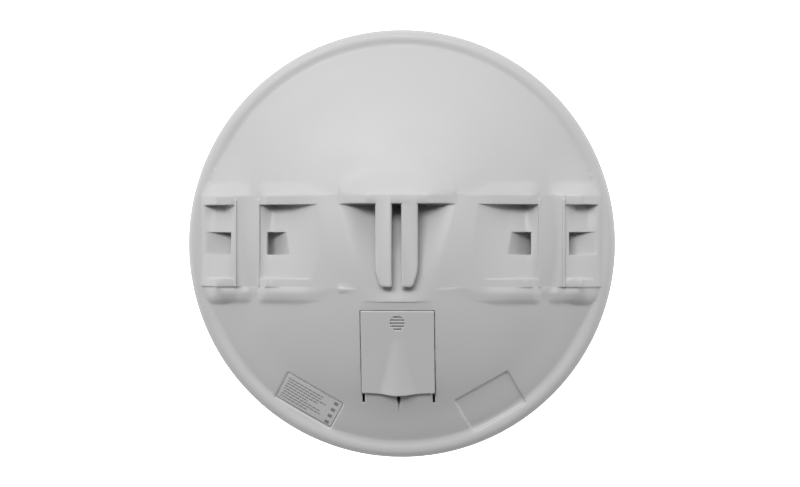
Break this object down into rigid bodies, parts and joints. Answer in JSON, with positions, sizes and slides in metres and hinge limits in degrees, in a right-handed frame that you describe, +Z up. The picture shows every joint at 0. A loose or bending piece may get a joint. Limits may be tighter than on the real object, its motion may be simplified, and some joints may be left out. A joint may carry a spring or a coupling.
{
  "type": "dish wireless bridge unit",
  "caption": "Round dish-type outdoor wireless unit for a mast, seen from its pole side: strap blocks, bracket rail, and a sliding port door over a network jack.",
  "frame": {"origin": "centre of the unit's bounding box, on the round housing's axis, midway between the hood's back face and the radome's crown", "axes": "+Z up along the mast with the port door at the bottom, +Y along the antenna's beam (radome side), -Y the pole side with rail, straps and door, +X to the right seen from the pole side"},
  "size_m": [0.222, 0.056, 0.222],
  "materials": {
    "housing_shell": "fine moulded texture",
    "radome_shell": "fine moulded texture",
    "door_shell": "fine moulded texture",
    "gasket_rubber": "soft matte",
    "label_film": "satin film",
    "aluminium_sheet": "satin spun",
    "nylon": "natural",
    "zinc_steel": "zinc plated",
    "circuit_board": "solder mask",
    "copper": "plated copper foil",
    "coax_jacket": "smooth",
    "thermal_rubber": "soft",
    "tinned_steel": "tin plated",
    "chip_resin": "moulded resin",
    "ferrite": "sintered",
    "capacitor_can": "can with sleeve",
    "jack_plastic": "moulded",
    "gold_contact": "gold plated",
    "led_lens": "clear resin",
    "button_plastic": "moulded"
  },
  "bodies": {
    "housing": {"rear_housing": "housing_shell", "front_radome": "radome_shell", "rim_gasket": "gasket_rubber", "rating_label": "label_film", "main_reflector": "aluminium_sheet", "reflector_spacers": "nylon", "board_screws": "zinc_steel", "feed_stalk": "nylon", "feed_board": "circuit_board", "dipole_arms": "copper", "sub_reflector": "aluminium_sheet", "feed_cap": "nylon", "rf_leads": "coax_jacket", "main_board": "circuit_board", "thermal_pad": "thermal_rubber", "rf_shield": "tinned_steel", "radio_chip": "chip_resin", "processor": "chip_resin", "memory_chip": "chip_resin", "flash_chip": "chip_resin", "crystal": "tinned_steel", "power_inductor": "ferrite", "bulk_capacitors": "capacitor_can", "ethernet_transformer": "chip_resin", "jack_shield": "tinned_steel", "jack_body": "jack_plastic", "jack_contacts": "gold_contact", "status_leds": "led_lens", "reset_switch": "jack_plastic"},
    "door": {"port_door": "door_shell"},
    "button": {"reset_button": "button_plastic"}
  },
  "joints": [
    {"name": "door_slide", "type": "slide", "parent": "housing", "child": "door", "axis": [0, 0.1994, -0.9799], "range_m": [0, 0.046]},
    {"name": "reset_press", "type": "slide", "parent": "housing", "child": "button", "axis": [0, 1, 0], "range_m": [0, 0.0003], "stiffness_N_per_m": 300, "springref_m": -0.0004}
  ]
}
